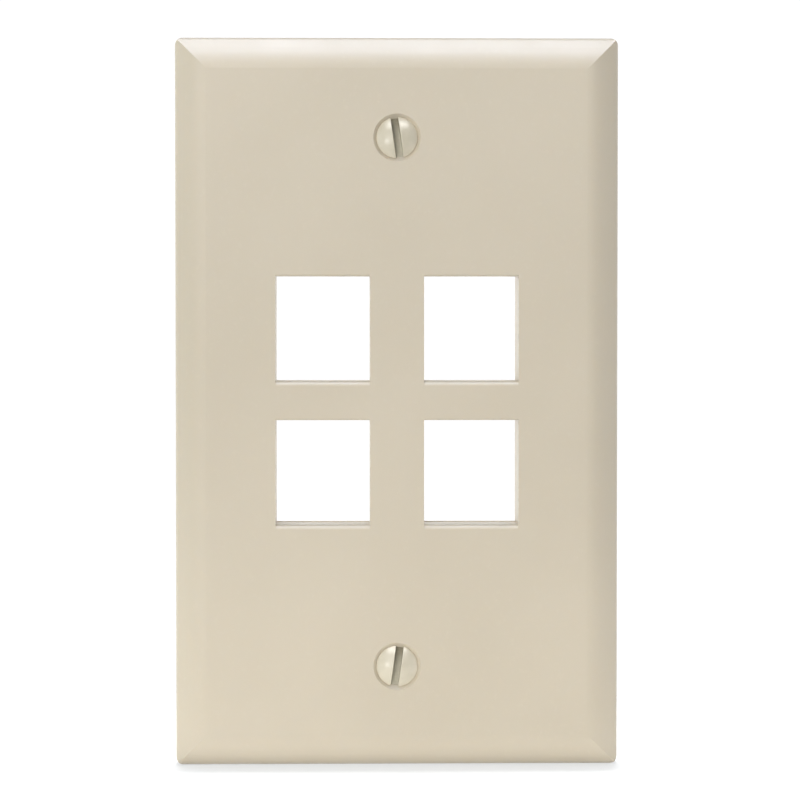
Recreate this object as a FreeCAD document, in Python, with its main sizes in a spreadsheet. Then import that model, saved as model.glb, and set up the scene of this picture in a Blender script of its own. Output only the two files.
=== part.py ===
import FreeCAD, Part
import os

import Sketcher

# Keystone wall plate for four snap-in jacks, with its two mounting screws.
# Lengths are millimetres and angles degrees. X runs to the right as the plate is seen on its wall, Z is up,
# and -Y points out of the wall. The wall is the plane Y = 0, and the origin lies midway between the screws.

SIZES = {
    # outline and bevelled edge of the moulded plate
    "plateWidth": 70.0,
    "plateHeight": 115.0,
    "plateDepth": 5.8,  # from the wall to the front face
    "bevelWidth": 5.0,  # from the outline to the flat of the front face
    "bevelAngle": 34.0,  # between the bevel and the front face
    "edgeRadius": 1.3,  # side wall into bevel
    "blendRadius": 6.0,  # bevel into front face
    "cornerRadius": 1.4,  # outline's corners
    # hollow rear
    "panelThickness": 2.2,
    "rimThickness": 2.0,
    "hollowRadius": 1.0,  # upright inner corners of the hollow
    "ribThickness": 1.2,
    "ribSetback": 2.6,  # from the wall to the ribs
    "ribBite": 0.3,  # depth that ribs, bosses and housings share with the panel
    # openings for the jacks
    "portWidth": 14.9,
    "portHeight": 16.5,
    "columnPitch": 23.4,
    "rowPitch": 22.66,
    "portRise": 0.3,  # middle of the openings above the origin
    "sillRadius": 0.8,  # front edge of an opening's lower wall
    "lintelRadius": 0.3,  # front edge of its upper wall
    # housings behind the openings, with depths from the front face
    "housingDepth": 9.8,
    "housingWall": 1.5,
    "housingRoof": 1.2,
    "housingRadius": 0.8,  # outer corners of a housing block
    "latchStart": 4.0,
    "latchEnd": 8.0,
    "latchHeight": 3.4,  # latch pocket above the opening
    "latchCatch": 1.4,  # catch hanging down into that height
    "lugStart": 6.5,
    "lugEnd": 8.2,
    "lugHeight": 1.5,  # lug pocket below the opening
    "leadIn": 0.9,  # chamfer at the rear of both catches
    # screws and their seats
    "screwSpacing": 83.34,
    "screwLength": 19.05,  # from the head's rim to the tip
    "seatAngle": 82.0,
    "seatDiameter": 7.5,
    "screwHole": 3.9,
    "bossDiameter": 9.5,
    "bossSetback": 2.2,  # from the wall to the boss
    "headDiameter": 6.5,
    "headRim": 0.12,
    "domeRise": 1.05,
    "neckDiameter": 3.0,
    "neckClearance": 0.2,  # from the boss to the thread's start
    "threadDiameter": 3.5,
    "threadRunout": 0.35,
    "tipChamfer": 0.6,
    "slotWidth": 1.15,
    "slotDepth": 1.45,
    "slotLean": 8.0,  # turn of the upper screw's slot from upright, and of the lower one's the other way
    "seatGap": 0.05,
    # extra length of cutting profiles outside the material
    "overcut": 2.0,
}

# Runs and rises of the bevelled edge, from its radii and angle

EDGE_RUN = "(Sizes.edgeRadius * (1 - sin(Sizes.bevelAngle)))"
EDGE_RISE = "(Sizes.edgeRadius * cos(Sizes.bevelAngle))"
BLEND_RUN = "(Sizes.blendRadius * sin(Sizes.bevelAngle))"
BLEND_RISE = "(Sizes.blendRadius * (1 - cos(Sizes.bevelAngle)))"
SLOPE_RUN = f"(Sizes.bevelWidth - {EDGE_RUN} - {BLEND_RUN})"
SLOPE_START = f"(Sizes.plateDepth - {BLEND_RISE} - {SLOPE_RUN} * tan(Sizes.bevelAngle))"
SIDE_HEIGHT = f"({SLOPE_START} - {EDGE_RISE})"

# The rear hollow has upright walls, then follows the bevel at the panel's own thickness

HOLLOW_DEPTH = "(Sizes.plateDepth - Sizes.panelThickness)"
HOLLOW_STRAIGHT = (
    f"({SLOPE_START} + (Sizes.rimThickness - {EDGE_RUN}) * tan(Sizes.bevelAngle)"
    " - Sizes.panelThickness / cos(Sizes.bevelAngle))"
)
HOLLOW_SLOPE_RUN = f"(({HOLLOW_DEPTH} - {HOLLOW_STRAIGHT}) / tan(Sizes.bevelAngle))"

# Ends of the port housings, about the middle of one opening

HOUSING_TOP = "(Sizes.portHeight / 2 + Sizes.latchHeight + Sizes.housingRoof)"
HOUSING_BOTTOM = "(-Sizes.portHeight / 2 - Sizes.lugHeight - Sizes.housingRoof)"

# A screw's lengths, from its head's rim towards the tip

HALF_SEAT_TAN = "tan(Sizes.seatAngle / 2)"
RIM_DEPTH = (
    f"((Sizes.seatDiameter - Sizes.headDiameter) / 2 / {HALF_SEAT_TAN} - Sizes.seatGap - Sizes.headRim)"
)
CONE_END = f"(Sizes.headRim + (Sizes.headDiameter - Sizes.neckDiameter) / 2 / {HALF_SEAT_TAN})"
THREAD_START = f"(Sizes.plateDepth - Sizes.bossSetback - {RIM_DEPTH} + Sizes.neckClearance)"

ORIGIN_POINT = (-1, 1)


def start_document():
    """The document, with its sheet of named sizes."""
    document = FreeCAD.newDocument("keystone_faceplate")
    sheet = document.addObject("Spreadsheet::Sheet", "Sizes")
    for row, (name, size) in enumerate(SIZES.items(), start=1):
        sheet.set(f"A{row}", name)
        sheet.set(f"B{row}", str(size))
        sheet.setAlias(f"B{row}", name)
    document.recompute()
    return document


def value(item, expression):
    """What an expression comes to, as a plain number."""
    return float(item.evalExpression(expression))


def new_body(document, name):
    body = document.addObject("PartDesign::Body", name)
    body.Label = name
    return body


def origin_item(body, role):
    for item in body.Origin.OriginFeatures:
        if item.Role == role:
            return item
    raise ValueError(f"{body.Label} has no {role}")


def new_sketch(body, name, role, offset="0"):
    """A sketch on one of the body's own planes, moved along the plane's normal by an expression."""
    sketch = body.newObject("Sketcher::SketchObject", name)
    sketch.AttachmentSupport = [(origin_item(body, role), "")]
    sketch.MapMode = "FlatFace"
    sketch.setExpression(".AttachmentOffset.Base.z", offset)
    body.Document.recompute()
    return sketch


def bind(sketch, kind, *parts, to):
    """Adds a dimension whose size is an expression."""
    index = sketch.addConstraint(Sketcher.Constraint(kind, *parts, value(sketch, to)))
    sketch.setExpression(f"Constraints[{index}]", to)


def draw_outline(sketch, corners):
    """Draws a closed outline. A corner is (across, up), or (across, up, radius, side) where the edge that
    leaves it is an arc, with its centre on the left (side 1) or on the right (side -1) of that edge."""
    points = [FreeCAD.Vector(value(sketch, corner[0]), value(sketch, corner[1]), 0) for corner in corners]
    first = sketch.GeometryCount
    ends = []
    for index, corner in enumerate(corners):
        start = points[index]
        end = points[(index + 1) % len(points)]
        if len(corner) == 2:
            sketch.addGeometry(Part.LineSegment(start, end), False)
            ends.append((1, 2))
            continue
        radius = value(sketch, corner[2])
        chord = end - start
        left = FreeCAD.Vector(-chord.y, chord.x, 0).normalize()
        to_centre = max(radius**2 - chord.Length**2 / 4, 0) ** 0.5
        centre = (start + end) / 2 + left * (to_centre * corner[3])
        middle = centre - left * (radius * corner[3])
        sketch.addGeometry(Part.Arc(start, middle, end), False)
        # an arc is kept anticlockwise, so one with its centre on the right starts at the far corner
        ends.append((1, 2) if corner[3] == 1 else (2, 1))
    for index, corner in enumerate(corners):
        follower = (index + 1) % len(corners)
        joined = (first + index, ends[index][1], first + follower, ends[follower][0])
        sketch.addConstraint(Sketcher.Constraint("Coincident", *joined))
        bind(sketch, "DistanceX", *ORIGIN_POINT, first + index, ends[index][0], to=corner[0])
        bind(sketch, "DistanceY", *ORIGIN_POINT, first + index, ends[index][0], to=corner[1])
        if len(corner) == 4:
            bind(sketch, "Radius", first + index, to=corner[2])


def draw_rectangle(sketch, left, right, bottom, top):
    draw_outline(sketch, [(left, bottom), (right, bottom), (right, top), (left, top)])


def draw_rounded_rectangle(sketch, left, right, bottom, top, radius):
    corners = [
        (f"{left} + {radius}", bottom),
        (f"{right} - {radius}", bottom, radius, 1),
        (right, f"{bottom} + {radius}"),
        (right, f"{top} - {radius}", radius, 1),
        (f"{right} - {radius}", top),
        (f"{left} + {radius}", top, radius, 1),
        (left, f"{top} - {radius}"),
        (left, f"{bottom} + {radius}", radius, 1),
    ]
    draw_outline(sketch, corners)


def draw_circle(sketch, up, diameter):
    """A circle on the sketch's vertical axis."""
    centre = FreeCAD.Vector(0, value(sketch, up), 0)
    shape = Part.Circle(centre, FreeCAD.Vector(0, 0, 1), value(sketch, diameter) / 2)
    circle = sketch.addGeometry(shape, False)
    sketch.addConstraint(Sketcher.Constraint("PointOnObject", circle, 3, -2))
    bind(sketch, "DistanceY", *ORIGIN_POINT, circle, 3, to=up)
    bind(sketch, "Diameter", circle, to=diameter)


def extrude(body, kind, sketch, length, midplane=False, reverse=False):
    """A Pad or a Pocket of the sketch. A Pad goes along the sketch's normal and a Pocket against it."""
    before = body.Tip.Shape.Volume if kind == "Pocket" else 0
    feature = body.newObject(f"PartDesign::{kind}", f"{kind}_{sketch.Label}")
    feature.Profile = sketch
    feature.SideType = "Symmetric" if midplane else "One side"
    feature.Reversed = reverse
    feature.setExpression("Length", length)
    body.Document.recompute()
    if kind == "Pocket" and feature.Shape.Volume >= before:
        raise ValueError(f"{feature.Label} cuts nothing")
    return feature


def section_corners(half, flip, base):
    """Corners of the plate's section, with its bevelled edges. flip gives a corner's place in the sketch from
    its place across the plate and its height above the wall."""
    right = [
        (f"{half}", base),
        (f"{half}", SIDE_HEIGHT, "Sizes.edgeRadius", 1),
        (f"{half} - {EDGE_RUN}", SLOPE_START),
        (f"{half} - {SLOPE_RUN} - {EDGE_RUN}", f"Sizes.plateDepth - {BLEND_RISE}", "Sizes.blendRadius", 1),
        (f"{half} - Sizes.bevelWidth", "Sizes.plateDepth"),
    ]
    left = [
        (f"-{half} + Sizes.bevelWidth", "Sizes.plateDepth", "Sizes.blendRadius", 1),
        (f"-{half} + {SLOPE_RUN} + {EDGE_RUN}", f"Sizes.plateDepth - {BLEND_RISE}"),
        (f"-{half} + {EDGE_RUN}", SLOPE_START, "Sizes.edgeRadius", 1),
        (f"-{half}", SIDE_HEIGHT),
        (f"-{half}", base),
    ]
    return [(*flip(corner[0], corner[1]), *corner[2:]) for corner in right + left]


def add_blank(plate):
    """The bevelled block: one section runs the plate's height, and the other trims its ends, so that the
    bevels meet in mitres."""
    level = new_sketch(plate, "level_section", "XY_Plane")
    # the wall is above the section in this sketch, so its arcs have their centres on the other side
    corners = section_corners("Sizes.plateWidth / 2", lambda across, height: (across, f"-({height})"), "0")
    draw_outline(level, [corner[:3] + (-1,) if len(corner) == 4 else corner for corner in corners])
    extrude(plate, "Pad", level, "Sizes.plateHeight + 2 * Sizes.overcut", midplane=True)

    ends = new_sketch(plate, "upright_section", "YZ_Plane")
    corners = section_corners(
        "Sizes.plateHeight / 2", lambda across, height: (f"-({height})", across), "-Sizes.overcut"
    )
    draw_outline(ends, corners)
    reach = "Sizes.plateHeight / 2 + 2 * Sizes.overcut"
    draw_rectangle(ends, "-Sizes.plateDepth - Sizes.overcut", "2 * Sizes.overcut", f"-({reach})", reach)
    extrude(plate, "Pocket", ends, "Sizes.plateWidth + 2 * Sizes.overcut", midplane=True)

    corner_cut = new_sketch(plate, "outline_corners", "XZ_Plane")
    for across in ("", "-"):
        for up in ("", "-"):
            draw_corner_cut(corner_cut, across, up)
    extrude(plate, "Pocket", corner_cut, "2 * Sizes.plateDepth + 2 * Sizes.overcut", midplane=True)


def draw_corner_cut(sketch, across, up):
    """What rounds one corner of the outline off. across and up are the signs of the corner's quarter."""
    side = f"{across}(Sizes.plateWidth / 2)"
    side_in = f"{across}(Sizes.plateWidth / 2 - Sizes.cornerRadius)"
    side_out = f"{across}(Sizes.plateWidth / 2 + Sizes.overcut)"
    end = f"{up}(Sizes.plateHeight / 2)"
    end_in = f"{up}(Sizes.plateHeight / 2 - Sizes.cornerRadius)"
    end_out = f"{up}(Sizes.plateHeight / 2 + Sizes.overcut)"
    turn = -1 if across == up else 1
    corners = [
        (side_in, end, "Sizes.cornerRadius", turn),
        (side, end_in),
        (side_out, end_in),
        (side_out, end_out),
        (side_in, end_out),
    ]
    draw_outline(sketch, corners)


def add_hollow(plate):
    """The hollow rear, as wide as the rim leaves and sloped under the bevel."""
    mouth = new_sketch(plate, "hollow_mouth", "XZ_Plane")
    draw_hollow(mouth, "0")
    extrude(plate, "Pocket", mouth, HOLLOW_STRAIGHT, reverse=True)

    shoulder = new_sketch(plate, "hollow_shoulder", "XZ_Plane", HOLLOW_STRAIGHT)
    draw_hollow(shoulder, "0")
    floor = new_sketch(plate, "hollow_floor", "XZ_Plane", HOLLOW_DEPTH)
    draw_hollow(floor, HOLLOW_SLOPE_RUN)
    slope = plate.newObject("PartDesign::SubtractiveLoft", "hollow_slope")
    slope.Profile = shoulder
    slope.Sections = [floor]
    slope.Ruled = True
    plate.Document.recompute()


def draw_hollow(sketch, inset):
    """The hollow's outline, moved in from the rim."""
    half_width = f"(Sizes.plateWidth / 2 - Sizes.rimThickness - {inset})"
    half_height = f"(Sizes.plateHeight / 2 - Sizes.rimThickness - {inset})"
    ends = (f"-{half_width}", half_width, f"-{half_height}", half_height)
    draw_rounded_rectangle(sketch, *ends, "Sizes.hollowRadius")


def add_housings(plate):
    """One block behind each column of openings."""
    blocks = new_sketch(plate, "housings", "XZ_Plane", "Sizes.plateDepth - Sizes.housingDepth")
    bottom = f"Sizes.portRise - Sizes.rowPitch / 2 + {HOUSING_BOTTOM}"
    top = f"Sizes.portRise + Sizes.rowPitch / 2 + {HOUSING_TOP}"
    half = "(Sizes.portWidth / 2 + Sizes.housingWall)"
    for side in ("-", ""):
        middle = f"{side}Sizes.columnPitch / 2"
        ends = (f"{middle} - {half}", f"{middle} + {half}", bottom, top)
        draw_rounded_rectangle(blocks, *ends, "Sizes.housingRadius")
    length = "Sizes.housingDepth - Sizes.panelThickness + Sizes.ribBite"
    extrude(plate, "Pad", blocks, length)


def add_bosses(plate):
    bosses = new_sketch(plate, "screw_bosses", "XZ_Plane", "Sizes.bossSetback")
    for sign in ("", "-"):
        draw_circle(bosses, f"{sign}Sizes.screwSpacing / 2", "Sizes.bossDiameter")
    extrude(plate, "Pad", bosses, f"{HOLLOW_DEPTH} - Sizes.bossSetback + Sizes.ribBite")


def add_ribs(plate):
    """Stiffening ribs on the panel's rear: three upright, and three level ones that cross them."""
    length = f"{HOLLOW_DEPTH} - Sizes.ribSetback + Sizes.ribBite"
    half = "Sizes.ribThickness / 2"
    outer = "(Sizes.columnPitch / 2 + Sizes.portWidth / 2 + Sizes.housingWall / 2)"
    reach = "(Sizes.plateHeight / 2 - Sizes.rimThickness / 2)"
    uprights = new_sketch(plate, "upright_ribs", "XZ_Plane", "Sizes.ribSetback")
    for middle in (f"-{outer}", "0", outer):
        draw_rectangle(uprights, f"{middle} - {half}", f"{middle} + {half}", f"-{reach}", reach)
    extrude(plate, "Pad", uprights, length)

    reach = "(Sizes.plateWidth / 2 - Sizes.rimThickness / 2)"
    levels = new_sketch(plate, "level_ribs", "XZ_Plane", "Sizes.ribSetback")
    for middle in ("-Sizes.screwSpacing / 2", "Sizes.portRise", "Sizes.screwSpacing / 2"):
        draw_rectangle(levels, f"-{reach}", reach, f"{middle} - {half}", f"{middle} + {half}")
    extrude(plate, "Pad", levels, length)


def cut_ports(plate):
    """One stepped opening, seen from the side, cut through its housing and repeated in rows and columns."""
    front = "-Sizes.plateDepth"
    rear = "Sizes.housingDepth - Sizes.plateDepth"
    row = "Sizes.portRise - Sizes.rowPitch / 2"
    sill = f"{row} - Sizes.portHeight / 2"
    lintel = f"{row} + Sizes.portHeight / 2"
    catch = f"{lintel} + Sizes.latchHeight - Sizes.latchCatch"
    corners = [
        (f"{front} - Sizes.overcut", f"{sill} - Sizes.sillRadius"),
        (front, f"{sill} - Sizes.sillRadius", "Sizes.sillRadius", -1),
        (f"{front} + Sizes.sillRadius", sill),
        (f"{front} + Sizes.lugStart", sill),
        (f"{front} + Sizes.lugStart", f"{sill} - Sizes.lugHeight"),
        (f"{front} + Sizes.lugEnd", f"{sill} - Sizes.lugHeight"),
        (f"{front} + Sizes.lugEnd", sill),
        (f"{rear} - Sizes.leadIn", sill),
        (rear, f"{sill} - Sizes.leadIn"),
        (f"{rear} + Sizes.overcut", f"{sill} - Sizes.leadIn"),
        (f"{rear} + Sizes.overcut", f"{catch} + Sizes.leadIn"),
        (rear, f"{catch} + Sizes.leadIn"),
        (f"{rear} - Sizes.leadIn", catch),
        (f"{front} + Sizes.latchEnd", catch),
        (f"{front} + Sizes.latchEnd", f"{lintel} + Sizes.latchHeight"),
        (f"{front} + Sizes.latchStart", f"{lintel} + Sizes.latchHeight"),
        (f"{front} + Sizes.latchStart", lintel),
        (f"{front} + Sizes.lintelRadius", lintel, "Sizes.lintelRadius", -1),
        (front, f"{lintel} + Sizes.lintelRadius"),
        (f"{front} - Sizes.overcut", f"{lintel} + Sizes.lintelRadius"),
    ]
    opening = new_sketch(plate, "port_opening", "YZ_Plane", "-Sizes.columnPitch / 2")
    draw_outline(opening, corners)
    first = extrude(plate, "Pocket", opening, "Sizes.portWidth", midplane=True)

    ports = plate.newObject("PartDesign::LinearPattern", "ports")
    ports.Originals = [first]
    ports.Direction = (origin_item(plate, "X_Axis"), [""])
    ports.Mode = "Spacing"
    ports.setExpression("Offset", "Sizes.columnPitch")
    ports.Occurrences = 2
    ports.Direction2 = (origin_item(plate, "Z_Axis"), [""])
    ports.Mode2 = "Spacing"
    ports.setExpression("Offset2", "Sizes.rowPitch")
    # minus one stands for the common offset, which the second direction doesn't take by itself
    ports.Spacings2 = [-1.0]
    ports.Occurrences2 = 2
    plate.Tip = ports
    before = first.Shape.Volume
    plate.Document.recompute()
    if ports.Shape.Volume >= before:
        raise ValueError("the openings aren't repeated")


def cut_screw_holes(plate):
    """A countersunk clearance hole for each screw."""
    centres = new_sketch(plate, "screw_centres", "XZ_Plane", "Sizes.plateDepth")
    for sign in ("", "-"):
        draw_circle(centres, f"{sign}Sizes.screwSpacing / 2", "Sizes.screwHole")
    before = plate.Tip.Shape.Volume
    holes = plate.newObject("PartDesign::Hole", "screw_holes")
    holes.Profile = centres
    plate.Document.recompute()
    holes.DepthType = "ThroughAll"
    holes.Threaded = False
    holes.HoleCutType = "Countersink"
    holes.HoleCutCustomValues = True
    holes.setExpression("Diameter", "Sizes.screwHole")
    holes.setExpression("HoleCutDiameter", "Sizes.seatDiameter")
    holes.setExpression("HoleCutCountersinkAngle", "Sizes.seatAngle")
    plate.Document.recompute()
    if holes.Shape.Volume >= before:
        raise ValueError("the screw holes cut nothing")


def make_faceplate(document):
    plate = new_body(document, "faceplate")
    add_blank(plate)
    add_hollow(plate)
    add_housings(plate)
    add_bosses(plate)
    add_ribs(plate)
    cut_ports(plate)
    cut_screw_holes(plate)
    return plate


def make_screw(document, name, side):
    """An oval-head machine screw on its own axis, with its slot turned and its head in the plate's seat.
    side is 1 for the upper screw and -1 for the lower one."""
    screw = new_body(document, name)
    rim = f"(-Sizes.plateDepth + {RIM_DEPTH})"
    tip = f"({rim} + Sizes.screwLength)"
    head = "Sizes.headDiameter / 2"
    neck = "Sizes.neckDiameter / 2"
    thread = "Sizes.threadDiameter / 2"
    dome = "((Sizes.headDiameter / 2) ^ 2 + Sizes.domeRise ^ 2) / (2 * Sizes.domeRise)"
    corners = [
        (f"{rim} - Sizes.domeRise", "0"),
        (tip, "0"),
        (tip, f"{thread} - Sizes.tipChamfer"),
        (f"{tip} - Sizes.tipChamfer", thread),
        (f"{rim} + {THREAD_START} + Sizes.threadRunout", thread),
        (f"{rim} + {THREAD_START}", neck),
        (f"{rim} + {CONE_END}", neck),
        (f"{rim} + Sizes.headRim", head),
        (rim, head, dome, 1),
    ]
    half_section = new_sketch(screw, "half_section", "YZ_Plane")
    draw_outline(half_section, corners)
    turned = screw.newObject("PartDesign::Revolution", "turned")
    turned.Profile = half_section
    turned.ReferenceAxis = (origin_item(screw, "Y_Axis"), [""])
    turned.Angle = 360
    document.recompute()

    slot = new_sketch(screw, "slot", "XZ_Plane", f"-({rim} - Sizes.domeRise)")
    reach = "(Sizes.headDiameter / 2 + Sizes.overcut)"
    draw_rectangle(slot, "-Sizes.slotWidth / 2", "Sizes.slotWidth / 2", f"-{reach}", reach)
    extrude(screw, "Pocket", slot, "Sizes.slotDepth")

    lean_axis = FreeCAD.Vector(0, -side, 0)
    screw.Placement = FreeCAD.Placement(FreeCAD.Vector(), FreeCAD.Rotation(lean_axis, 1))
    screw.setExpression("Placement.Rotation.Angle", "Sizes.slotLean")
    screw.setExpression("Placement.Base.z", f"{side} * Sizes.screwSpacing / 2")
    document.recompute()
    return screw


def check(document, pieces):
    """Stops where an object has failed, or a piece isn't one sound solid."""
    for item in document.Objects:
        if "Invalid" in item.State or "Error" in item.State:
            raise ValueError(f"{item.Label} failed: {item.State}")
    for piece in pieces:
        if piece.Shape.isNull() or not piece.Shape.isValid() or len(piece.Shape.Solids) != 1:
            raise ValueError(f"{piece.Label} isn't one valid solid")


def main():
    document = start_document()
    pieces = [
        make_faceplate(document),
        make_screw(document, "upper_screw", 1),
        make_screw(document, "lower_screw", -1),
    ]
    check(document, pieces)
    os.makedirs("parts", exist_ok=True)
    for piece in pieces:
        piece.Shape.exportStep(f"parts/{piece.Label}.step")
        print(piece.Label, round(piece.Shape.Volume, 2), "cubic millimetres")


main()
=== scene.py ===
import math

import bmesh
import bpy
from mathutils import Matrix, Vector


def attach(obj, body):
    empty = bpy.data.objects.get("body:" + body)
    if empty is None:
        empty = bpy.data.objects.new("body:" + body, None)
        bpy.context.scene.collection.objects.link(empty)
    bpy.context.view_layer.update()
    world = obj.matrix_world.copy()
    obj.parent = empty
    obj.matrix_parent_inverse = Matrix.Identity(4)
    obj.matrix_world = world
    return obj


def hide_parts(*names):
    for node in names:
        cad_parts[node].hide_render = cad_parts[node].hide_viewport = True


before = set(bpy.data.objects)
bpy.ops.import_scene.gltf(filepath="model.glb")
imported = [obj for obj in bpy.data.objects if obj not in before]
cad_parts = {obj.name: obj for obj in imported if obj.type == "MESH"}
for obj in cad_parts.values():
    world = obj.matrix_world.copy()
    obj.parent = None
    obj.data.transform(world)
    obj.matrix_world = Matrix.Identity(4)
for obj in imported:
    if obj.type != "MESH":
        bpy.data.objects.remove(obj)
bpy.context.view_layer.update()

MM = 0.001

# Places on the plate that the camera, the table and the screws are set from, in millimetres

FACE = -5.8
PLATE_BOTTOM = -57.5
SCREW_SPACING = 83.34

# Camera: it stands a little to the left of the plate's middle and a little above it

EYE = (-9.0, FACE - 450.0, 13.0)
AIM = (0.448, FACE, 0.403)
LENS = 128.667
SENSOR = 36.0

# Strength of the white round the object: as the camera sees it, in front of the object, and behind it as it
# lights and as it is reflected

SEEN_WHITE = 1.05
FRONT_FILL = 0.16
BACKDROP_LIGHT = 1.1
BACKDROP_SHEEN = 1.7
FILL_COLOUR = (0.96, 0.98, 1.0)
TURN = 0.25  # half the change from front to back, as the Y of the direction looked in

# Table, in metres. Its glow is painted bounce light: it lights the plate from below out of a strip in front of
# it, between Y of the strip's start and of the contact, and a painted contact shadow drops it to a share beside
# the plate's foot

TABLE_HALF = 0.3
GLOW_COLOUR = (0.965, 0.985, 1.0)
GLOW_SEEN = 0.56
GLOW_PEAK = 0.95
STRIP_START = -0.028
STRIP_FULL = -0.008
CONTACT_FULL = -0.0085
CONTACT_LOW = -0.0035
CONTACT_SHARE = 0.15
FADE_START = 0.05
FADE_END = 0.12

# Screw, along its own axis: 0 is the rim of the head, and the tip lies towards +Y

RIM = FACE + 0.405
HEAD_RADIUS = 3.25
HEAD_RIM = 0.12
DOME_RISE = 1.05
NECK_RADIUS = 1.5
CONE_TAN = math.tan(math.radians(41.0))
THREAD_FROM = 3.395
SCREW_LENGTH = 19.05
CREST_RADIUS = 1.75
ROOT_RADIUS = 1.29
PITCH = 25.4 / 32
TIP_RADIUS = 1.15
SLOT_DEPTH = 1.45
SLOT_LEAN = math.radians(8.0)
WELD = 1e-5
SHARP_ANGLE = math.radians(40.0)

# Height of each screw, and the turn of its slot from upright

SCREWS = {
    "upper_screw": (SCREW_SPACING / 2, -SLOT_LEAN),
    "lower_screw": (-SCREW_SPACING / 2, SLOT_LEAN),
}

# Places of a screw's materials

PAINTED = 0
IN_SLOT = 1
PLATED = 2


def add_camera():
    data = bpy.data.cameras.new("camera")
    data.lens = LENS
    data.sensor_width = SENSOR
    data.clip_start = 0.01
    data.clip_end = 20.0
    camera = bpy.data.objects.new("camera", data)
    bpy.context.scene.collection.objects.link(camera)
    eye = Vector(EYE) * MM
    aim = Vector(AIM) * MM
    camera.location = eye
    camera.rotation_mode = "QUATERNION"
    camera.rotation_quaternion = (aim - eye).to_track_quat("-Z", "Y")
    bpy.context.scene.camera = camera


def add_world():
    """White where the camera looks past the object. What lights the object is white behind it, as a bright
    backdrop is, and dim in front of it."""
    world = bpy.data.worlds.new("studio")
    bpy.context.scene.world = world
    world.use_nodes = True
    tree = world.node_tree
    tree.nodes.clear()
    output = tree.nodes.new("ShaderNodeOutputWorld")
    mix = tree.nodes.new("ShaderNodeMixShader")
    path = tree.nodes.new("ShaderNodeLightPath")
    seen = tree.nodes.new("ShaderNodeBackground")
    seen.inputs["Color"].default_value = (1.0, 1.0, 1.0, 1.0)
    seen.inputs["Strength"].default_value = SEEN_WHITE
    direction = tree.nodes.new("ShaderNodeTexCoord")
    parts = tree.nodes.new("ShaderNodeSeparateXYZ")
    tree.links.new(direction.outputs["Generated"], parts.inputs["Vector"])
    backdrop = tree.nodes.new("ShaderNodeMapRange")
    backdrop.inputs["From Min"].default_value = -TURN
    backdrop.inputs["From Max"].default_value = TURN
    backdrop.inputs["To Min"].default_value = FRONT_FILL
    level = tree.nodes.new("ShaderNodeMapRange")
    level.inputs["To Min"].default_value = BACKDROP_LIGHT
    level.inputs["To Max"].default_value = BACKDROP_SHEEN
    tree.links.new(path.outputs["Is Glossy Ray"], level.inputs["Value"])
    tree.links.new(level.outputs["Result"], backdrop.inputs["To Max"])
    tree.links.new(parts.outputs["Y"], backdrop.inputs["Value"])
    fill = tree.nodes.new("ShaderNodeBackground")
    fill.inputs["Color"].default_value = (*FILL_COLOUR, 1.0)
    tree.links.new(backdrop.outputs["Result"], fill.inputs["Strength"])
    tree.links.new(path.outputs["Is Camera Ray"], mix.inputs["Fac"])
    tree.links.new(fill.outputs["Background"], mix.inputs[1])
    tree.links.new(seen.outputs["Background"], mix.inputs[2])
    tree.links.new(mix.outputs["Shader"], output.inputs["Surface"])


def add_area_light(name, place, aim, size, watts, colour=(1.0, 1.0, 1.0)):
    """A rectangular soft light, with place and aim in millimetres."""
    data = bpy.data.lights.new(name, "AREA")
    data.shape = "RECTANGLE"
    data.size = size[0] * MM
    data.size_y = size[1] * MM
    data.energy = watts
    data.color = colour
    light = bpy.data.objects.new(name, data)
    bpy.context.scene.collection.objects.link(light)
    light.location = Vector(place) * MM
    light.rotation_mode = "QUATERNION"
    light.rotation_quaternion = (Vector(aim) * MM - light.location).to_track_quat("-Z", "Y")
    return light


def only_for(light, names, *, diffuse=True, glossy=True):
    """Narrows a light down: to the objects named, if any are, and to what it may add to them."""
    light.visible_diffuse = diffuse
    light.visible_glossy = glossy
    if names:
        chosen = bpy.data.collections.new(f"{light.name}_targets")
        for name in names:
            chosen.objects.link(bpy.data.objects[name])
        light.light_linking.receiver_collection = chosen


def detailed(node):
    """Name of the scene's own screw that stands for a CAD node."""
    return f"{node}_detailed"


def add_lights():
    """A large key light from the front left, weak fills from both sides, and soft lights that only shine back
    from the plate's upper bevel or the screws' heads. The last one throws the plate's shadow on the table."""
    plate = [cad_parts["faceplate"].name]
    screws = [detailed(node) for node in SCREWS]
    key = add_area_light("key_light", (-320, -940, 60), (0, 0, 0), (700, 700), 7.2)
    only_for(key, [], glossy=False)
    add_area_light("right_fill", (500, -250, 0), (0, 0, 0), (300, 600), 0.44, (0.84, 0.91, 1.0))
    add_area_light("left_fill", (-500, -200, 0), (0, 0, 0), (300, 600), 0.42, (0.76, 0.94, 1.0))
    strip = add_area_light("top_strip", (-20, -130, 440), (0, 0, 20), (520, 340), 6.6, (0.82, 0.87, 1.0))
    only_for(strip, plate, diffuse=False)
    front = add_area_light("front_soft", (-40, -480, 300), (0, 0, 20), (700, 380), 2.7)
    only_for(front, plate, diffuse=False)
    crown = add_area_light("screw_crown_light", (10, -640, 780), (0, 0, 0), (1200, 420), 12.0)
    only_for(crown, screws, diffuse=False)
    spark = add_area_light("screw_spark_light", (-315, -510, -40), (0, 0, 0), (120, 120), 0.38)
    only_for(spark, screws, diffuse=False)
    table = add_area_light("table_light", (0, 420, 7000), (0, 0, 0), (360, 360), 468.0)
    only_for(table, ["floor"])


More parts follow.
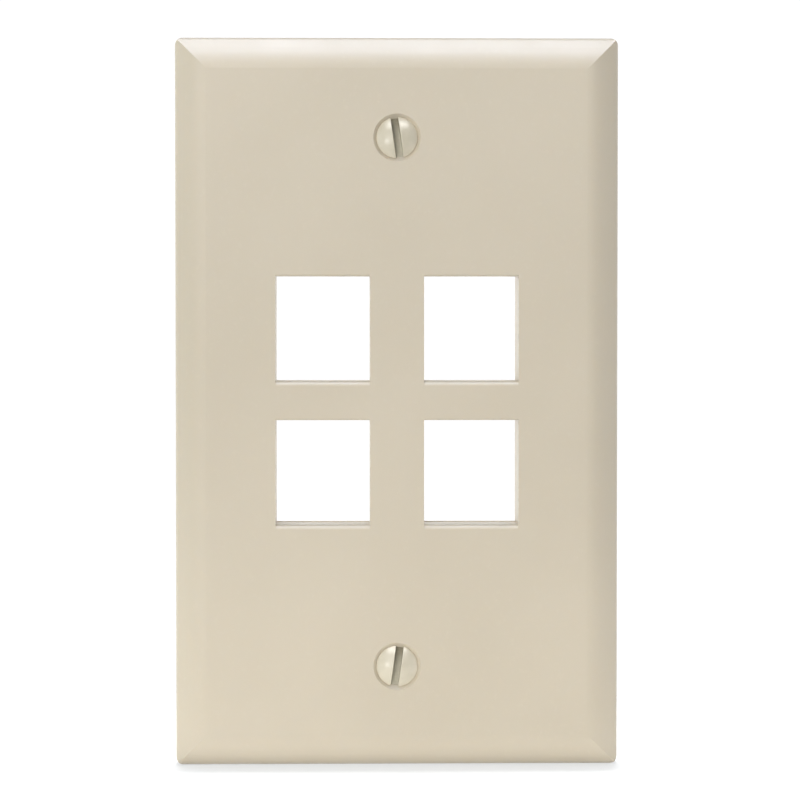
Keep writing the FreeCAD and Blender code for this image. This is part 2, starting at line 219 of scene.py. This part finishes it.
class Shader:
    """A material's node tree, with a Principled shader that further nodes feed."""

    def __init__(self, name):
        self.material = bpy.data.materials.new(name)
        self.material.use_nodes = True
        self.tree = self.material.node_tree
        self.main = self.tree.nodes["Principled BSDF"]
        coordinates = self.add("ShaderNodeTexCoord")
        self.where = coordinates.outputs["Object"]
        self.share = coordinates.outputs["Generated"]

    def add(self, kind, **settings):
        node = self.tree.nodes.new(kind)
        for name, setting in settings.items():
            setattr(node, name, setting)
        return node

    def link(self, start, end):
        self.tree.links.new(start, end)

    def feed(self, socket, item):
        """Gives a socket a number or a colour, or links another socket to it."""
        if isinstance(item, bpy.types.NodeSocket):
            self.link(item, socket)
        elif isinstance(item, tuple):
            socket.default_value = (*item, 1.0)
        else:
            socket.default_value = item

    def split(self, vector):
        """A vector's X, Y and Z."""
        node = self.add("ShaderNodeSeparateXYZ")
        self.link(vector, node.inputs["Vector"])
        return node.outputs

    def noise(self, size, detail=2.0, roughness=0.5):
        """Noise from 0 to 1 whose features are about size millimetres across."""
        node = self.add("ShaderNodeTexNoise")
        node.inputs["Scale"].default_value = 1.0 / (size * MM)
        node.inputs["Detail"].default_value = detail
        node.inputs["Roughness"].default_value = roughness
        self.link(self.where, node.inputs["Vector"])
        return node.outputs["Fac"]

    def spread(self, source, low, high, start=0.35, end=0.65):
        """Maps a value between start and end to the range from low to high."""
        node = self.add("ShaderNodeMapRange")
        node.inputs["From Min"].default_value = start
        node.inputs["From Max"].default_value = end
        self.feed(node.inputs["To Min"], low)
        self.feed(node.inputs["To Max"], high)
        self.link(source, node.inputs["Value"])
        return node.outputs["Result"]

    def mix_colours(self, factor, first, second):
        """Mixes two colours, either of which may be a socket."""
        node = self.add("ShaderNodeMix", data_type="RGBA")
        self.link(factor, node.inputs["Factor"])
        sockets = [item for item in node.inputs if item.type == "RGBA"]
        for socket, colour in zip(sockets, (first, second)):
            self.feed(socket, colour)
        return [item for item in node.outputs if item.type == "RGBA"][0]

    def bump(self, height, distance, strength, below=None):
        """Adds relief of that height, in millimetres, over an earlier bump."""
        node = self.add("ShaderNodeBump")
        node.inputs["Distance"].default_value = distance * MM
        node.inputs["Strength"].default_value = strength
        self.link(height, node.inputs["Height"])
        if below is not None:
            self.link(below, node.inputs["Normal"])
        return node.outputs["Normal"]


def ivory_plastic():
    """Moulded ivory resin: even colour with faint flow clouds, and a satin skin with a fine grain."""
    shader = Shader("ivory_plastic")
    clouds = shader.spread(shader.noise(38.0, 3.0), 0.0, 1.0)
    tone = shader.mix_colours(clouds, (0.640, 0.560, 0.430), (0.672, 0.590, 0.458))
    flecks = shader.spread(shader.noise(0.9, 4.0, 0.7), 0.0, 0.35, 0.55, 0.75)
    tone = shader.mix_colours(flecks, tone, (0.700, 0.622, 0.492))
    shader.link(tone, shader.main.inputs["Base Color"])
    gloss = shader.spread(shader.noise(6.0, 4.0, 0.6), 0.40, 0.47)
    shader.link(gloss, shader.main.inputs["Roughness"])
    waves = shader.bump(shader.noise(9.0, 1.0), 0.02, 0.5)
    grain = shader.bump(shader.noise(0.28, 2.0), 0.0015, 0.5, waves)
    shader.link(grain, shader.main.inputs["Normal"])
    shader.main.inputs["IOR"].default_value = 1.49
    shader.main.inputs["Subsurface Weight"].default_value = 0.12
    shader.main.inputs["Subsurface Radius"].default_value = (1.0, 0.7, 0.4)
    shader.main.inputs["Subsurface Scale"].default_value = 0.0006
    return shader.material


def ivory_paint():
    """Stoved ivory paint on the screws' heads: glossier than the plate, with a slight orange peel."""
    shader = Shader("ivory_paint")
    clouds = shader.spread(shader.noise(2.2, 3.0), 0.0, 1.0)
    tone = shader.mix_colours(clouds, (0.685, 0.620, 0.475), (0.740, 0.670, 0.525))
    shader.link(tone, shader.main.inputs["Base Color"])
    gloss = shader.spread(shader.noise(1.1, 3.0), 0.28, 0.36)
    shader.link(gloss, shader.main.inputs["Roughness"])
    peel = shader.bump(shader.noise(0.45, 2.0), 0.006, 0.6)
    shader.link(peel, shader.main.inputs["Normal"])
    shader.main.inputs["Coat Weight"].default_value = 0.5
    shader.main.inputs["Coat Roughness"].default_value = 0.2
    return shader.material


def slot_paint_painted_shade():
    """The same paint in the slots, duller, with painted shade: darker than on the head, and darkest towards the
    upper end.
    """
    shader = Shader("slot_paint_painted_shade")
    # Painted shade: the slot's colour darkens along its height to a deep brown at the upper end
    rise = shader.spread(shader.split(shader.share)["Z"], 0.0, 1.0, 0.52, 0.90)
    tone = shader.mix_colours(rise, (0.500, 0.465, 0.360), (0.215, 0.185, 0.115))
    worn = shader.spread(shader.noise(0.5, 3.0), 0.0, 0.4)
    tone = shader.mix_colours(worn, tone, (0.400, 0.370, 0.280))
    shader.link(tone, shader.main.inputs["Base Color"])
    shader.main.inputs["Roughness"].default_value = 0.55
    return shader.material


def zinc_plate():
    """Bright zinc on the screws' shanks, slightly blue and cloudy."""
    shader = Shader("zinc_plate")
    clouds = shader.spread(shader.noise(1.4, 3.0), 0.0, 1.0)
    tone = shader.mix_colours(clouds, (0.40, 0.41, 0.42), (0.52, 0.52, 0.51))
    shader.link(tone, shader.main.inputs["Base Color"])
    gloss = shader.spread(shader.noise(0.7, 4.0), 0.24, 0.42)
    shader.link(gloss, shader.main.inputs["Roughness"])
    shader.main.inputs["Metallic"].default_value = 1.0
    return shader.material


def stage_white():
    """A matt white table that fades into the white round it, so that no edge of it shows. It glows evenly for
    the camera.
    For what it lights, its glow is painted bounce light in front of the plate, with a painted contact shadow
    that makes it less close beside it."""
    shader = Shader("stage_white")
    tone = shader.mix_colours(shader.noise(60.0), (0.38, 0.38, 0.38), (0.40, 0.40, 0.40))
    shader.link(tone, shader.main.inputs["Base Color"])
    shader.main.inputs["Roughness"].default_value = 0.9
    shader.main.inputs["Emission Color"].default_value = (*GLOW_COLOUR, 1.0)
    depth = shader.split(shader.where)["Y"]
    # Painted contact shadow and painted bounce light: the glow that lights the plate is a strip in front of it,
    # dimmed close beside its foot
    painted_contact_shadow = shader.spread(depth, 1.0, CONTACT_SHARE, CONTACT_FULL, CONTACT_LOW)
    far = shader.spread(depth, 0.0, GLOW_PEAK, STRIP_START, STRIP_FULL)
    painted_bounce = shader.add("ShaderNodeMath", operation="MULTIPLY")
    shader.link(painted_contact_shadow, painted_bounce.inputs[0])
    shader.link(far, painted_bounce.inputs[1])
    path = shader.add("ShaderNodeLightPath")
    glow = shader.spread(path.outputs["Is Camera Ray"], painted_bounce.outputs["Value"], GLOW_SEEN, 0.0, 1.0)
    shader.link(glow, shader.main.inputs["Emission Strength"])
    distance = shader.add("ShaderNodeVectorMath", operation="LENGTH")
    shader.link(shader.where, distance.inputs[0])
    fade = shader.spread(distance.outputs["Value"], 1.0, 0.0, FADE_START, FADE_END)
    shader.link(fade, shader.main.inputs["Alpha"])
    return shader.material


def profile_radius(along):
    """Radius of the head's side at a distance along the screw from the rim."""
    if along <= HEAD_RIM:
        return HEAD_RADIUS
    return max(HEAD_RADIUS - (along - HEAD_RIM) * CONE_TAN, NECK_RADIUS)


def dome_height(radius):
    """How far the dome stands above the rim at a radius from the axis."""
    curve = (HEAD_RADIUS**2 + DOME_RISE**2) / (2 * DOME_RISE)
    return math.sqrt(curve**2 - radius**2) - (curve - DOME_RISE)


# Lines across the slot, from its middle outwards: offset from the axis, and share of the wall's height there

SLOT_LINES = [
    (0.0, 0.0),
    (0.30, 0.0),
    (0.46, 0.004),
    (0.52, 0.03),
    (0.548, 0.10),
    (0.560, 0.35),
    (0.570, 0.65),
    (0.580, 0.84),
    (0.598, 0.935),
    (0.628, 0.98),
    (0.670, 1.0),
]

# Further lines out to the head's edge, steps along each line, and rings down the cone and neck

HEAD_LINES = [0.74, 0.9, 1.1, 1.35, 1.6, 1.85, 2.1, 2.35, 2.55, 2.75, 2.9, 3.02, 3.12, 3.19, 3.23, 3.247]
SLOT_EDGE = 0.8  # share of the wall's height from which the surface belongs to the dome
HEAD_STEPS = 40
SIDE_LEVELS = [0.03, HEAD_RIM, 0.17, 0.35, 0.6, 0.9, 1.2, 1.5, 1.8, 2.05, 2.133, 2.3, 3.0, THREAD_FROM]


def head_lines():
    """Every line across the head, as (offset from the axis, share of the wall's height)."""
    right = SLOT_LINES + [(offset, 1.0) for offset in HEAD_LINES]
    left = [(-offset, share) for offset, share in reversed(right[1:])]
    return left + right


def add_head(mesh):
    """The slotted oval head, with its slot upright, and the cone and neck below it."""
    floor = SLOT_DEPTH - DOME_RISE
    lines = head_lines()
    grid = []
    for offset, share in lines:
        line = []
        for step in range(HEAD_STEPS + 1):
            across = math.sin(math.pi / 2 * (2 * step / HEAD_STEPS - 1))
            reach = math.sqrt(HEAD_RADIUS**2 - offset**2)
            top = dome_height(min(math.hypot(offset, across * reach), HEAD_RADIUS))
            along = floor + (-top - floor) * share
            inside = profile_radius(max(along, 0.0))
            reach = math.sqrt(max(inside**2 - offset**2, 0.0))
            line.append(mesh.verts.new((offset, along, across * reach)))
        grid.append(line)
    for index, (first, second) in enumerate(zip(grid, grid[1:])):
        # Slot faces take the material with the painted shade
        in_slot = min(lines[index][1], lines[index + 1][1]) < SLOT_EDGE
        for low, high in zip(range(HEAD_STEPS), range(1, HEAD_STEPS + 1)):
            face = mesh.faces.new((first[low], second[low], second[high], first[high]))
            face.material_index = IN_SLOT if in_slot else PAINTED

    border = [line[-1] for line in grid] + list(reversed(grid[-1][1:-1]))
    border += [line[0] for line in reversed(grid)] + grid[0][1:-1]
    ring = border
    for level in SIDE_LEVELS:
        following = []
        for vertex in border:
            angle = math.atan2(vertex.co.z, vertex.co.x)
            along = max(level, vertex.co.y)
            radius = profile_radius(along)
            following.append(mesh.verts.new((radius * math.cos(angle), along, radius * math.sin(angle))))
        join_rings(mesh, ring, following)
        ring = following


def join_rings(mesh, first, second):
    """Faces between two rings that have the same number of vertices."""
    count = len(first)
    for index in range(count):
        after = (index + 1) % count
        mesh.faces.new((first[index], first[after], second[after], second[index]))


# One turn of the thread's section: place within the pitch, and depth from 0 at the root to 1 at the crest

THREAD_SECTION = [
    (0.0, 0.0),
    (0.10, 0.0),
    (0.14, 0.04),
    (0.44, 0.95),
    (0.47, 1.0),
    (0.59, 1.0),
    (0.62, 0.95),
    (0.92, 0.04),
    (0.96, 0.0),
    (1.0, 0.0),
]
THREAD_STEPS = 48

# Slopes of the thread's start, for its crest as it rises from the neck and for its root as it sinks

CREST_SLOPE = 0.7
ROOT_SLOPE = 0.5

# Rings of the flat end from its edge inwards: radius, and height above it

TIP_RINGS = [(TIP_RADIUS, 0.0), (0.9, 0.0), (0.5, -0.06)]


def thread_radius(along, depth):
    """Radius of the thread's surface, faded at its start and cut by the chamfer at the tip."""
    radius = ROOT_RADIUS + (CREST_RADIUS - ROOT_RADIUS) * depth
    into = along - THREAD_FROM
    highest = min(NECK_RADIUS + into * CREST_SLOPE, TIP_RADIUS + (SCREW_LENGTH - along))
    lowest = NECK_RADIUS - into * ROOT_SLOPE
    return max(min(radius, highest), min(lowest, highest))


def add_thread(mesh):
    """A helical ribbon of the thread's section, clamped to flat ends."""
    turns = math.ceil((SCREW_LENGTH - THREAD_FROM) / PITCH) + 1
    rows = []
    for turn in range(turns * THREAD_STEPS + 1):
        angle = 2 * math.pi * turn / THREAD_STEPS
        base = THREAD_FROM - PITCH + PITCH * turn / THREAD_STEPS
        row = []
        for place, depth in THREAD_SECTION:
            along = min(max(base + place * PITCH, THREAD_FROM), SCREW_LENGTH)
            radius = thread_radius(along, depth)
            row.append(mesh.verts.new((radius * math.cos(angle), along, radius * math.sin(angle))))
        rows.append(row)
    for first, second in zip(rows, rows[1:]):
        for index in range(len(first) - 1):
            mesh.faces.new((first[index], second[index], second[index + 1], first[index + 1]))


def add_tip(mesh):
    """The flat end of the shank, slightly dished."""
    ring = None
    for radius, along in TIP_RINGS:
        following = []
        for step in range(THREAD_STEPS):
            angle = 2 * math.pi * step / THREAD_STEPS
            place = (radius * math.cos(angle), SCREW_LENGTH + along, radius * math.sin(angle))
            following.append(mesh.verts.new(place))
        if ring:
            join_rings(mesh, ring, following)
        ring = following
    mesh.faces.new(ring)


def make_screw(node, up, lean, materials):
    """A screw in the place of a CAD node, at a height and with its slot leaning from upright."""
    name = detailed(node)
    mesh = bmesh.new()
    add_head(mesh)
    painted = len(mesh.faces)
    add_thread(mesh)
    add_tip(mesh)
    for index, face in enumerate(mesh.faces):
        face.smooth = True
        if index >= painted:
            face.material_index = PLATED
    bmesh.ops.remove_doubles(mesh, verts=mesh.verts, dist=WELD)
    bmesh.ops.dissolve_degenerate(mesh, edges=mesh.edges, dist=WELD)
    bmesh.ops.recalc_face_normals(mesh, faces=mesh.faces)
    for vertex in mesh.verts:
        x, y, z = vertex.co
        turned_x = x * math.cos(lean) + z * math.sin(lean)
        turned_z = -x * math.sin(lean) + z * math.cos(lean)
        vertex.co = Vector((turned_x, RIM + y, up + turned_z)) * MM
    data = bpy.data.meshes.new(name)
    mesh.to_mesh(data)
    mesh.free()
    for material in materials:
        data.materials.append(material)
    screw = bpy.data.objects.new(name, data)
    bpy.context.scene.collection.objects.link(screw)
    data.set_sharp_from_angle(angle=SHARP_ANGLE)
    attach(screw, "root")
    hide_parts(node)


def add_floor(material):
    """The white table that the plate stands on."""
    data = bpy.data.meshes.new("floor")
    signs = [(-1, -1), (1, -1), (1, 1), (-1, 1)]
    corners = [(across * TABLE_HALF, along * TABLE_HALF, 0) for across, along in signs]
    data.from_pydata(corners, [], [(0, 1, 2, 3)])
    data.materials.append(material)
    floor = bpy.data.objects.new("floor", data)
    floor.location.z = PLATE_BOTTOM * MM
    bpy.context.scene.collection.objects.link(floor)
    floor.visible_glossy = False


def dress_faceplate(material):
    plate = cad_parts["faceplate"]
    plate.data.materials.clear()
    plate.data.materials.append(material)


bpy.context.scene.view_settings.view_transform = "Standard"
add_camera()
add_world()
dress_faceplate(ivory_plastic())
# The second of these holds the painted shade in the slots
screw_materials = [ivory_paint(), slot_paint_painted_shade(), zinc_plate()]
for node, (up, lean) in SCREWS.items():
    make_screw(node, up, lean, screw_materials)
add_floor(stage_white())
add_lights()
